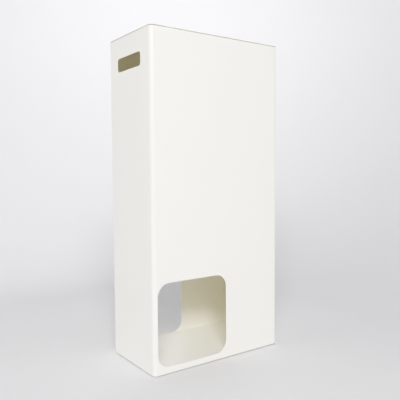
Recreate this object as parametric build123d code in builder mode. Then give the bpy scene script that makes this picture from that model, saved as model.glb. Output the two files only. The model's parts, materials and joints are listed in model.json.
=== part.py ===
from build123d import *
import os

# Upright storage box of folded, powder-coated sheet steel, 240 x 130 x 500 mm overall.
# Things go in from the top, under a lift-off lid, and come out through a rounded square
# window low in the front and rear walls. Each narrow side has a hand slot near the top.
#
# Frame: millimetres, +Z up, the front wall faces -Y, and the origin is the middle of the
# footprint, on the surface that the feet stand on.
#
# The pieces: a front shell (front wall and both sides, folded from one sheet), a rear
# panel whose return flanges lap inside the sides, a base tray on four rubber feet, and a
# lid made of a plate, a locating frame welded under it and four silicone strips.

# ---- driving dimensions -------------------------------------------------------------
WIDTH = 240.0  # outside, along X
DEPTH = 130.0  # outside, along Y
HEIGHT = 500.0  # from the surface to the top of the lid
SHEET = 0.8  # thickness of every sheet but the lid plate
BEND_R = 6.0  # outside radius of the four vertical corners
CUT_R = 0.25  # rounding that the coating leaves on a cut edge

WINDOW = 124.5  # side of the square window
WINDOW_R = 20.0
WINDOW_INSET = 7.0  # from the left side's outer face to the window
WINDOW_SILL = 10.6  # height of the window's lower edge

SLOT_LENGTH = 72.0
SLOT_HEIGHT = 20.5
SLOT_R = 5.0
SLOT_Z = 457.6  # height of the hand slots' middle

HEM = 10.0  # how far the top edge is folded back down inside
FOLD_R = 0.7  # outside radius of a tight fold
LAP = 14.0  # width of the rear panel's return flanges
LAP_ROOT = 2.0  # how far these reach into the rear panel's bends
LAP_CLEARANCE = 5.0  # between their ends and the tray below or the hem above
SEAM = 0.2  # open seam between the side walls and the rear panel

FLOOR_Z = 10.0  # top of the base tray
TRAY_FLANGE = 7.5  # depth of the tray, over its turned-down flanges
PAN_CORNER_R = 8.0  # corners of the tray and of the lid frame, seen from above
CORNER_RELIEF = 2.0  # how far a flange or hem stops short of a corner's bend

FOOT_PROUD = 1.5  # how far the feet stand below the walls
FOOT_X, FOOT_Y = 98.0, 44.0
FOOT_TOP_R, FOOT_TIP_R = 9.0, 7.5
FOOT_ROUND = 0.5

LID_PLATE = 1.0
LID_GAP = 1.0  # shadow gap under the lid plate
LID_FRAME_PLAY = 1.0  # between the lid frame and the hems, all round
LID_FRAME_DROP = 11.0
LID_FRAME_LEDGE = 14.0  # width of the flat ring that is welded to the plate
STRIP_LENGTH, STRIP_WIDTH = 14.0, 2.0
STRIP_X = 88.0
STRIP_INSET = 0.2  # between the lid frame and a strip
CONTACT_GAP = 0.02  # between the strips and the rim

# ---- worked out from them -----------------------------------------------------------
LID_UNDERSIDE_Z = HEIGHT - LID_PLATE
RIM_Z = LID_UNDERSIDE_Z - LID_GAP
SEAM_Y = DEPTH / 2 - BEND_R
WINDOW_X = -WIDTH / 2 + WINDOW_INSET + WINDOW / 2
WINDOW_Z = WINDOW_SILL + WINDOW / 2
INNER_X = WIDTH / 2 - SHEET
INNER_Y = DEPTH / 2 - SHEET
HEM_STOP = BEND_R + CORNER_RELIEF
LAP_BOTTOM = FLOOR_Z + LAP_CLEARANCE
LAP_TOP = RIM_Z - HEM - LAP_CLEARANCE
LID_FRAME_X = INNER_X - SHEET - LID_FRAME_PLAY
LID_FRAME_Y = INNER_Y - SHEET - LID_FRAME_PLAY
STRIP_Y = LID_FRAME_Y + STRIP_INSET + STRIP_WIDTH / 2

CORNERS = {
    "front_left": (-1, -1),
    "front_right": (1, -1),
    "rear_left": (-1, 1),
    "rear_right": (1, 1),
}

os.makedirs("parts", exist_ok=True)


def write(builder, name):
    """Labels a finished piece and writes its STEP file."""
    builder.part.label = name
    export_step(builder.part, f"parts/{name}.step")


def wall_section(y_low, y_high):
    """The part of the box's wall, seen from above, that lies between two Y values."""
    RectangleRounded(WIDTH, DEPTH, BEND_R)
    RectangleRounded(WIDTH - 2 * SHEET, DEPTH - 2 * SHEET, BEND_R - SHEET, mode=Mode.SUBTRACT)
    with Locations((0, (y_low + y_high) / 2)):
        Rectangle(2 * WIDTH, y_high - y_low, mode=Mode.INTERSECT)


def hem_across(y):
    """Seen from above, the folded-back hem of a wide wall whose hem lies about y."""
    with Locations((0, y)):
        Rectangle(WIDTH - 2 * HEM_STOP, SHEET)


def soften_cut(axis):
    """Rounds the edges that the last cut through a wall left on the wall's two faces."""
    levels = edges(Select.LAST).group_by(axis)
    fillet(levels[0] + levels[-1], CUT_R)


def cut_window(plane, inward):
    """Cuts the rounded square window through one wide wall."""
    with BuildSketch(plane) as window:
        with Locations((WINDOW_X, WINDOW_Z)):
            RectangleRounded(WINDOW, WINDOW, WINDOW_R)
    extrude(window.sketch, amount=inward * 2 * SHEET, mode=Mode.SUBTRACT)
    soften_cut(Axis.Y)


def cut_hand_slot(side):
    """Cuts the hand slot through one narrow wall; side is -1 for left, 1 for right."""
    with BuildSketch(Plane.YZ.offset(side * WIDTH / 2)) as slot:
        with Locations((0, SLOT_Z)):
            RectangleRounded(SLOT_LENGTH, SLOT_HEIGHT, SLOT_R)
    extrude(slot.sketch, amount=-side * 2 * SHEET, mode=Mode.SUBTRACT)
    soften_cut(Axis.X)


def round_rim():
    """Rounds the folded top edge, along the outer faces and along the hems."""
    top = edges().group_by(Axis.Z)[-1]
    straight = top.filter_by(lambda edge: edge.length > 2 * HEM_STOP)
    fillet(straight, FOLD_R)


def pan_flanges(half_x, half_y):
    """Seen from above, the four flanges along the sides of a pan with open corners."""
    run_x = 2 * (half_x - PAN_CORNER_R - CORNER_RELIEF)
    run_y = 2 * (half_y - PAN_CORNER_R - CORNER_RELIEF)
    with Locations((0, half_y - SHEET / 2), (0, SHEET / 2 - half_y)):
        Rectangle(run_x, SHEET)
    with Locations((half_x - SHEET / 2, 0), (SHEET / 2 - half_x, 0)):
        Rectangle(SHEET, run_y)


def round_fold(half_x):
    """Rounds the outer top edge of a pan, where its flanges are folded down."""
    top = edges().group_by(Axis.Z)[-1]
    outline = top.filter_by(lambda edge: edge.bounding_box().max.X > half_x - CUT_R)
    fillet(outline, FOLD_R)


# ---- front shell: front wall and both sides, one folded sheet -----------------------
with BuildPart() as front_shell:
    with BuildSketch(Plane.XY.offset(FOOT_PROUD)):
        wall_section(-DEPTH / 2, SEAM_Y - SEAM / 2)
    extrude(amount=RIM_Z - FOOT_PROUD)
    with BuildSketch(Plane.XY.offset(RIM_Z)):
        hem_across(SHEET / 2 - INNER_Y)
        with Locations((SHEET / 2 - INNER_X, 0), (INNER_X - SHEET / 2, 0)):
            Rectangle(SHEET, DEPTH - 2 * HEM_STOP)
    extrude(amount=-HEM)
    round_rim()
    cut_window(Plane.XZ.offset(DEPTH / 2), -1)
    cut_hand_slot(-1)
    cut_hand_slot(1)
write(front_shell, "front_shell")

# ---- rear panel: rear wall, its two bends and the lapped return flanges -------------
with BuildPart() as rear_panel:
    with BuildSketch(Plane.XY.offset(FOOT_PROUD)):
        wall_section(SEAM_Y + SEAM / 2, DEPTH / 2)
    extrude(amount=RIM_Z - FOOT_PROUD)
    with BuildSketch(Plane.XY.offset(RIM_Z)):
        hem_across(INNER_Y - SHEET / 2)
    extrude(amount=-HEM)
    round_rim()
    with BuildSketch(Plane.XY.offset(LAP_BOTTOM)):
        lap_y = SEAM_Y + LAP_ROOT - LAP / 2
        with Locations((SHEET / 2 - INNER_X, lap_y), (INNER_X - SHEET / 2, lap_y)):
            Rectangle(SHEET, LAP)
    extrude(amount=LAP_TOP - LAP_BOTTOM)
    cut_window(Plane.XZ.offset(-DEPTH / 2), 1)
write(rear_panel, "rear_panel")

# ---- base tray: the floor, a shallow pan turned upside down -------------------------
with BuildPart() as base_tray:
    with BuildSketch(Plane.XY.offset(FLOOR_Z)):
        RectangleRounded(2 * INNER_X, 2 * INNER_Y, PAN_CORNER_R)
    extrude(amount=-SHEET)
    with BuildSketch(Plane.XY.offset(FLOOR_Z)):
        pan_flanges(INNER_X, INNER_Y)
    extrude(amount=-TRAY_FLANGE)
    round_fold(INNER_X)
write(base_tray, "base_tray")

# ---- rubber feet, stuck under the tray ----------------------------------------------
for corner, (side_x, side_y) in CORNERS.items():
    with BuildPart() as foot:
        with BuildSketch():
            with Locations((side_x * FOOT_X, side_y * FOOT_Y)):
                Circle(FOOT_TIP_R)
        with BuildSketch(Plane.XY.offset(FLOOR_Z - SHEET)):
            with Locations((side_x * FOOT_X, side_y * FOOT_Y)):
                Circle(FOOT_TOP_R)
        loft()
        fillet(edges().group_by(Axis.Z)[0], FOOT_ROUND)
    write(foot, f"foot_{corner}")

# ---- lid plate ----------------------------------------------------------------------
with BuildPart() as lid_plate:
    with BuildSketch(Plane.XY.offset(LID_UNDERSIDE_Z)):
        RectangleRounded(WIDTH, DEPTH, BEND_R)
    extrude(amount=LID_PLATE)
    rims = edges().group_by(Axis.Z)
    fillet(rims[0] + rims[-1], CUT_R)
write(lid_plate, "lid_plate")

# ---- lid frame: a flat ring with a turned-down flange, which drops inside the hems ---
with BuildPart() as lid_frame:
    with BuildSketch(Plane.XY.offset(LID_UNDERSIDE_Z)):
        RectangleRounded(2 * LID_FRAME_X, 2 * LID_FRAME_Y, PAN_CORNER_R)
        RectangleRounded(
            2 * (LID_FRAME_X - LID_FRAME_LEDGE),
            2 * (LID_FRAME_Y - LID_FRAME_LEDGE),
            PAN_CORNER_R,
            mode=Mode.SUBTRACT,
        )
    extrude(amount=-SHEET)
    with BuildSketch(Plane.XY.offset(LID_UNDERSIDE_Z)):
        pan_flanges(LID_FRAME_X, LID_FRAME_Y)
    extrude(amount=-LID_FRAME_DROP)
    round_fold(LID_FRAME_X)
write(lid_frame, "lid_frame")

# ---- silicone strips under the lid plate, which rest on the front and rear rims ------
for corner, (side_x, side_y) in CORNERS.items():
    with BuildPart() as lid_strip:
        with BuildSketch(Plane.XY.offset(LID_UNDERSIDE_Z)):
            with Locations((side_x * STRIP_X, side_y * STRIP_Y)):
                SlotOverall(STRIP_LENGTH, STRIP_WIDTH)
        extrude(amount=CONTACT_GAP - LID_GAP)
    write(lid_strip, f"lid_strip_{corner}")
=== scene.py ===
"""A lidded storage box of powder-coated sheet steel, in a plain pale studio."""

import json
import math

import bmesh
import bpy
from mathutils import Matrix, Vector


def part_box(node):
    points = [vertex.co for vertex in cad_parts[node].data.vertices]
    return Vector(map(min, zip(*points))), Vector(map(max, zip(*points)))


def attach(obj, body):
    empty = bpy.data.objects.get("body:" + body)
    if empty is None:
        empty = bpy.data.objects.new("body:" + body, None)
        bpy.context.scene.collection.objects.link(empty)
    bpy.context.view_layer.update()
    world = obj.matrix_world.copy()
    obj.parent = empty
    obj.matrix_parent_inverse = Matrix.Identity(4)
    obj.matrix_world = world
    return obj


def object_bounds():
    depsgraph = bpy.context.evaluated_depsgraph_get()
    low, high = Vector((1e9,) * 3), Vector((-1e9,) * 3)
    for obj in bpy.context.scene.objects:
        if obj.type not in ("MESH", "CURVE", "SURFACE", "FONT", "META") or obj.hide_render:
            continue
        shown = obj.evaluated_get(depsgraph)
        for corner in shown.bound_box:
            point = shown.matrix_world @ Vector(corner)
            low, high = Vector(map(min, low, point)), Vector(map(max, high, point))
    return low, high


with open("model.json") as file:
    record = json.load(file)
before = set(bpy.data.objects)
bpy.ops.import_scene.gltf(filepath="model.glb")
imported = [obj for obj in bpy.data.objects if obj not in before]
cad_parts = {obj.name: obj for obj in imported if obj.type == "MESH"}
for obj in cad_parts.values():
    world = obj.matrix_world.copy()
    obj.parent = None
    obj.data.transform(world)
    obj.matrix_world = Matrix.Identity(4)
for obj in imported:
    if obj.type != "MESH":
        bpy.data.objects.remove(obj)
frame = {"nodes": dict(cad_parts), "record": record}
nodes = frame["nodes"]
cad_low, cad_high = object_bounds()
centre = (cad_low + cad_high) / 2
height = cad_high.z - cad_low.z

tray_low, tray_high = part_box("base_tray")
panel_low, panel_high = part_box("rear_panel")
ring_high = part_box("lid_frame")[1]
sheet = cad_high.x - tray_high.x

# ---- driving values, in metres, degrees and watts ------------------------------------
CAMERA_PLACE = Vector((-0.4702, -0.6747, 0.3007))
CAMERA_PITCH, CAMERA_ROLL, CAMERA_YAW = -3.659, 0.369, -35.342
SENSOR = 36.0
LENS = 45.05

STAGE_RADIUS = 2.4 * height
STAGE_SWEEP = 1.5 * height
STAGE_HEIGHT = 3.0 * height
STAGE_SIDES = 96
SWEEP_STEPS = 24

PAINT = (0.95, 0.933, 0.857)
RUBBER = (0.33, 0.32, 0.30)
SILICONE = (0.62, 0.61, 0.58)
PAPER = (0.84, 0.84, 0.84)

NOISE_LOW, NOISE_HIGH = 0.3, 0.7  # most of a noise texture's values lie between these

COAT_ROUGHNESS = 0.42
COAT_GLOSS_SPREAD = 0.04
COAT_RELIEF = 0.00002
COAT_DARKENING = 0.012
PEEL_SCALE = 520.0
GRAIN_SCALE = 2400.0
CLOUD_SCALE = 14.0

FOOT_ROUGHNESS = 0.75
STRIP_ROUGHNESS = 0.55
RUBBER_MATT_SPREAD = 0.08
RUBBER_RELIEF = 0.00004
RUBBER_BLOOM = 0.12
PIT_SCALE = 1800.0
BLOOM_SCALE = 90.0

# Each ring of a weld mark: its radius, and its height over the sheet.
WELD_PROFILE = [
    (0.0026, -0.0001),
    (0.0026, 0.00002),
    (0.0024, 0.00012),
    (0.0021, 0.00012),
    (0.0018, 0.00004),
    (0.0006, 0.00002),
]
WELD_SIDES = 20
LAP_MIDDLE = 0.007  # from the front edge of the rear panel's laps to their middle
LAP_WELDS = 8
LAP_WELD_FOOT = 0.03  # from the floor up to the lowest weld of a lap
LAP_WELD_HEAD = 0.04  # from the rim down to the highest
LEDGE_MIDDLE = 0.0075  # from the lid frame's outer face to the middle of its ring
LONG_WELD_REACH = 0.09  # from the middle of a wide side to its outermost weld
SHORT_WELD_REACH = 0.035  # the same for a narrow side
TRAY_WELDS_LONG, TRAY_WELDS_SHORT = 5, 2
RING_WELDS_LONG = 4

WHITE = (1.0, 1.0, 1.0)
WASHER_BLUE = (0.94, 0.945, 1.0)
LAMP_DISTANCE = 2.0
# Each softbox: name, azimuth, elevation, width and height, watts, colour.
SOFTBOXES = [
    ("key", -33.7, 31.4, (0.8, 0.4), 22.5, (0.96, 0.955, 0.985)),
    ("rear_softbox", 180, 20, (1.3, 1.3), 0.8, WHITE),
    ("rim_softbox", -140, 50, (1.3, 1.3), 1.7, WHITE),
]
WASHER_RADIUS = 0.5
WASHER_SIZE = (0.3, 0.3)
# Each wall washer: name, azimuth, height, upward tilt, watts.
WALL_WASHERS = [
    ("washer_right_low", 140, 0.65, 0, 0.53),
    ("washer_right_high", 140, 1.0, 10, 1.27),
    ("washer_middle", 162, 1.0, 10, 1.22),
    ("washer_left_low", -176, 0.4, -2, 0.45),
    ("washer_left_high", -150, 1.0, 10, 0.26),
]

TONE_TOE = 1.4
TONE_SHOULDER = 2.0
TONE_STEPS = 12
DIFFUSE_BOUNCES = 16
MAX_BOUNCES = 24


# ---- materials -----------------------------------------------------------------------
def new_material(name, colour, roughness):
    """A Principled material, its node tree and its shader node."""
    material = bpy.data.materials.new(name)
    material.use_nodes = True
    tree = material.node_tree
    shader = tree.nodes["Principled BSDF"]
    shader.inputs["Base Color"].default_value = (*colour, 1.0)
    shader.inputs["Roughness"].default_value = roughness
    return material, tree, shader


def noise(tree, scale, detail):
    """The value of a noise texture read in the object's own coordinates, in metres."""
    place = tree.nodes.new("ShaderNodeTexCoord")
    texture = tree.nodes.new("ShaderNodeTexNoise")
    texture.inputs["Scale"].default_value = scale
    texture.inputs["Detail"].default_value = detail
    tree.links.new(place.outputs["Object"], texture.inputs["Vector"])
    return texture.outputs["Fac"]


def total(tree, first, second, share):
    """The first value plus a share of the second."""
    node = tree.nodes.new("ShaderNodeMath")
    node.operation = "MULTIPLY_ADD"
    tree.links.new(second, node.inputs[0])
    node.inputs[1].default_value = share
    tree.links.new(first, node.inputs[2])
    return node.outputs["Value"]


def stretch(tree, value, low, high):
    """A noise value, stretched so that its usual range runs from low to high."""
    node = tree.nodes.new("ShaderNodeMapRange")
    node.inputs["From Min"].default_value = NOISE_LOW
    node.inputs["From Max"].default_value = NOISE_HIGH
    node.inputs["To Min"].default_value = low
    node.inputs["To Max"].default_value = high
    tree.links.new(value, node.inputs["Value"])
    return node.outputs["Result"]


def tint(tree, shader, colour, value, depth):
    """Colours the surface between the colour and a copy darker by depth, by the value."""
    mix = tree.nodes.new("ShaderNodeMix")
    mix.data_type = "RGBA"
    mix.inputs["A"].default_value = (*[c * (1 - depth) for c in colour], 1.0)
    mix.inputs["B"].default_value = (*colour, 1.0)
    tree.links.new(stretch(tree, value, 0.0, 1.0), mix.inputs["Factor"])
    tree.links.new(mix.outputs["Result"], shader.inputs["Base Color"])


def emboss(tree, shader, value, relief):
    """Raises and lowers the surface by the value, over relief metres."""
    bump = tree.nodes.new("ShaderNodeBump")
    bump.inputs["Strength"].default_value = 1.0
    bump.inputs["Distance"].default_value = relief
    tree.links.new(value, bump.inputs["Height"])
    tree.links.new(bump.outputs["Normal"], shader.inputs["Normal"])


def vary_roughness(tree, shader, value, roughness, spread):
    """Makes the surface rougher and smoother by up to spread, by the value."""
    varied = stretch(tree, value, roughness - spread, roughness + spread)
    tree.links.new(varied, shader.inputs["Roughness"])


def powder_coat(name, colour):
    """Satin powder coat: orange peel, a fine grain and slightly uneven gloss."""
    material, tree, shader = new_material(name, colour, COAT_ROUGHNESS)
    peel = noise(tree, PEEL_SCALE, 2.0)
    grain = noise(tree, GRAIN_SCALE, 1.0)
    cloud = noise(tree, CLOUD_SCALE, 4.0)
    emboss(tree, shader, total(tree, peel, grain, 0.35), COAT_RELIEF)
    tint(tree, shader, colour, total(tree, grain, cloud, 0.5), COAT_DARKENING)
    vary_roughness(tree, shader, cloud, COAT_ROUGHNESS, COAT_GLOSS_SPREAD)
    return material


def rubber(name, colour, roughness):
    """Moulded rubber: a matt, finely pitted skin with a faint bloom."""
    material, tree, shader = new_material(name, colour, roughness)
    pits = noise(tree, PIT_SCALE, 3.0)
    bloom = noise(tree, BLOOM_SCALE, 4.0)
    emboss(tree, shader, pits, RUBBER_RELIEF)
    tint(tree, shader, colour, total(tree, bloom, pits, 0.3), RUBBER_BLOOM)
    vary_roughness(tree, shader, bloom, roughness, RUBBER_MATT_SPREAD)
    return material


def dress_cad_nodes():
    """Gives each CAD node its material, by the record's material slots."""
    materials = {
        "powder_coat": powder_coat("warm_white_powder_coat", PAINT),
        "lid_coat": powder_coat("warm_white_lid_coat", PAINT),
        "foot_rubber": rubber("grey_foot_rubber", RUBBER, FOOT_ROUGHNESS),
        "silicone": rubber("pale_silicone", SILICONE, STRIP_ROUGHNESS),
    }
    for part in frame["record"]["subparts"]:
        nodes[part["node"]].data.materials[0] = materials[part["material_slot"]]
    return materials


materials = dress_cad_nodes()


# ---- spot welds: the small round witness marks on the inner faces ---------------------
def weld_mark(shape, place, outward):
    """Adds one shallow round dish with a raised rim, which faces outward."""
    rings = []
    turn = outward.to_track_quat("Z", "X").to_matrix()
    for radius, rise in WELD_PROFILE:
        ring = []
        for i in range(WELD_SIDES):
            angle = 2 * math.pi * i / WELD_SIDES
            point = Vector((radius * math.cos(angle), radius * math.sin(angle), rise))
            ring.append(shape.verts.new(place + turn @ point))
        rings.append(ring)
    for lower, upper in zip(rings, rings[1:]):
        for i in range(WELD_SIDES):
            j = (i + 1) % WELD_SIDES
            shape.faces.new((lower[i], lower[j], upper[j], upper[i]))
    shape.faces.new(rings[-1])
    shape.faces.new(rings[0][::-1])


def weld_marks(name, body, slot, spots):
    """A piece of many weld marks. spots lists each one's place and outward direction."""
    shape = bmesh.new()
    for place, outward in spots:
        weld_mark(shape, place, outward)
    mesh = bpy.data.meshes.new(name)
    shape.to_mesh(mesh)
    shape.free()
    for face in mesh.polygons:
        face.use_smooth = len(face.vertices) == 4
    mesh.materials.append(materials[slot])
    piece = bpy.data.objects.new(name, mesh)
    bpy.context.scene.collection.objects.link(piece)
    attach(piece, body)


def between(low, high, count):
    """Evenly spaced values, from low to high."""
    return [low + (high - low) * i / (count - 1) for i in range(count)]


def lap_spots():
    """The welds down the rear panel's laps, on their inner faces."""
    lap_x = tray_high.x - sheet
    lap_y = panel_low.y + LAP_MIDDLE
    low, high = tray_high.z + LAP_WELD_FOOT, panel_high.z - LAP_WELD_HEAD
    spots = []
    for side in (-1, 1):
        for z in between(low, high, LAP_WELDS):
            spots.append((Vector((side * lap_x, lap_y, z)), Vector((-side, 0, 0))))
    return spots


def tray_spots():
    """The welds round the tray, inside its turned-down flanges."""
    flange_x = tray_high.x - sheet
    flange_y = tray_high.y - sheet
    z = (tray_low.z + tray_high.z) / 2 - sheet
    spots = []
    for side in (-1, 1):
        for x in between(-LONG_WELD_REACH, LONG_WELD_REACH, TRAY_WELDS_LONG):
            spots.append((Vector((x, side * flange_y, z)), Vector((0, -side, 0))))
        for y in between(-SHORT_WELD_REACH, SHORT_WELD_REACH, TRAY_WELDS_SHORT):
            spots.append((Vector((side * flange_x, y, z)), Vector((-side, 0, 0))))
    return spots


def ring_spots():
    """The welds that hold the lid frame's ring to the plate, seen from below."""
    ledge_x = ring_high.x - LEDGE_MIDDLE
    ledge_y = ring_high.y - LEDGE_MIDDLE
    z = ring_high.z - sheet
    down = Vector((0, 0, -1))
    spots = []
    for side in (-1, 1):
        for x in between(-LONG_WELD_REACH, LONG_WELD_REACH, RING_WELDS_LONG):
            spots.append((Vector((x, side * ledge_y, z)), down))
        spots.append((Vector((side * ledge_x, 0, z)), down))
    return spots


weld_marks("lap_weld_marks", "box", "powder_coat", lap_spots())
weld_marks("tray_weld_marks", "box", "powder_coat", tray_spots())
weld_marks("lid_weld_marks", "lid", "lid_coat", ring_spots())


# ---- stage ---------------------------------------------------------------------------
def stage_profile():
    """Radius and height along the backdrop, from the middle of its floor to its top."""
    profile = [(0.0, 0.0), (STAGE_RADIUS - STAGE_SWEEP, 0.0)]
    for i in range(1, SWEEP_STEPS + 1):
        angle = math.pi / 2 * i / SWEEP_STEPS
        radius = STAGE_RADIUS - STAGE_SWEEP * (1 - math.sin(angle))
        profile.append((radius, STAGE_SWEEP * (1 - math.cos(angle))))
    profile.append((STAGE_RADIUS, STAGE_HEIGHT))
    return profile


def make_stage():
    """A round seamless backdrop: a flat floor that sweeps up into a wall on every side."""
    shape = bmesh.new()
    line = [shape.verts.new((radius, 0.0, z)) for radius, z in stage_profile()]
    edges = [shape.edges.new(pair) for pair in zip(line, line[1:])]
    bmesh.ops.spin(
        shape,
        geom=line + edges,
        cent=(0, 0, 0),
        axis=(0, 0, 1),
        angle=2 * math.pi,
        steps=STAGE_SIDES,
    )
    bmesh.ops.remove_doubles(shape, verts=shape.verts, dist=1e-5)
    bmesh.ops.recalc_face_normals(shape, faces=shape.faces)
    mesh = bpy.data.meshes.new("stage")
    shape.to_mesh(mesh)
    shape.free()
    for face in mesh.polygons:
        face.use_smooth = True
    mesh.materials.append(new_material("seamless_paper", PAPER, 0.9)[0])
    stage = bpy.data.objects.new("stage", mesh)
    bpy.context.scene.collection.objects.link(stage)
    stage.visible_shadow = False


make_stage()


# ---- lights --------------------------------------------------------------------------
def around(azimuth, elevation):
    """The direction to that side of the box. Azimuth 0 is its front, 90 its right."""
    a, e = math.radians(azimuth), math.radians(elevation)
    return Vector((math.sin(a) * math.cos(e), -math.cos(a) * math.cos(e), math.sin(e)))


def area_light(name, place, facing, size, watts, colour):
    """A rectangular lamp that the camera doesn't see. size is its width and height."""
    lamp = bpy.data.lights.new(name, "AREA")
    lamp.shape = "RECTANGLE"
    lamp.size, lamp.size_y = size
    lamp.energy = watts
    lamp.color = colour
    lamp.cycles.use_multiple_importance_sampling = False
    light = bpy.data.objects.new(name, lamp)
    light.location = place
    light.rotation_euler = (-facing).to_track_quat("Z", "Y").to_euler()
    light.visible_camera = False
    bpy.context.scene.collection.objects.link(light)


def softbox(name, azimuth, elevation, size, watts, colour):
    """A lamp outside the stage, which faces the middle of the box."""
    away = around(azimuth, elevation)
    area_light(name, centre + away * LAMP_DISTANCE, -away, size, watts, colour)


def wall_washer(name, azimuth, z, tilt, watts):
    """A small lamp behind the box that lights the backdrop, not the box."""
    place = around(azimuth, 0) * WASHER_RADIUS + Vector((0, 0, z))
    area_light(name, place, around(azimuth, tilt), WASHER_SIZE, watts, WASHER_BLUE)


def make_lights():
    """All the lamps, in a world that gives no light of its own."""
    for lamp in SOFTBOXES:
        softbox(*lamp)
    for lamp in WALL_WASHERS:
        wall_washer(*lamp)
    world = bpy.data.worlds.new("studio")
    world.use_nodes = True
    background = world.node_tree.nodes["Background"]
    background.inputs["Color"].default_value = (*WHITE, 1.0)
    background.inputs["Strength"].default_value = 0.0
    bpy.context.scene.world = world


make_lights()


# ---- exposure ------------------------------------------------------------------------
def tone(light):
    """The picture's brightness for a light, both from 0 to 1: a soft toe and shoulder."""
    bent = light ** TONE_TOE
    return (1 + TONE_SHOULDER) * bent / (1 + TONE_SHOULDER * bent)


def set_tones():
    """Gives the view a tone curve like a camera's, and lets light bounce in the box."""
    scene = bpy.context.scene
    scene.cycles.diffuse_bounces = DIFFUSE_BOUNCES
    scene.cycles.max_bounces = MAX_BOUNCES
    view = scene.view_settings
    view.view_transform = "Standard"
    view.use_curve_mapping = True
    combined = view.curve_mapping.curves[3]
    for step in range(1, TONE_STEPS):
        light = step / TONE_STEPS
        combined.points.new(light, tone(light))
    view.curve_mapping.update()


set_tones()


# ---- camera --------------------------------------------------------------------------
def make_camera():
    """The scene's camera, turned by its yaw, pitch and roll from facing the rear."""
    lens = bpy.data.cameras.new("camera")
    lens.sensor_width = SENSOR
    lens.lens = LENS
    camera = bpy.data.objects.new("camera", lens)
    turn = (
        Matrix.Rotation(math.radians(CAMERA_YAW), 4, "Z")
        @ Matrix.Rotation(math.radians(CAMERA_PITCH), 4, "X")
        @ Matrix.Rotation(math.radians(CAMERA_ROLL), 4, "Y")
        @ Matrix.Rotation(math.radians(90), 4, "X")
    )
    camera.matrix_world = Matrix.Translation(CAMERA_PLACE) @ turn
    bpy.context.scene.collection.objects.link(camera)
    bpy.context.scene.camera = camera


make_camera()
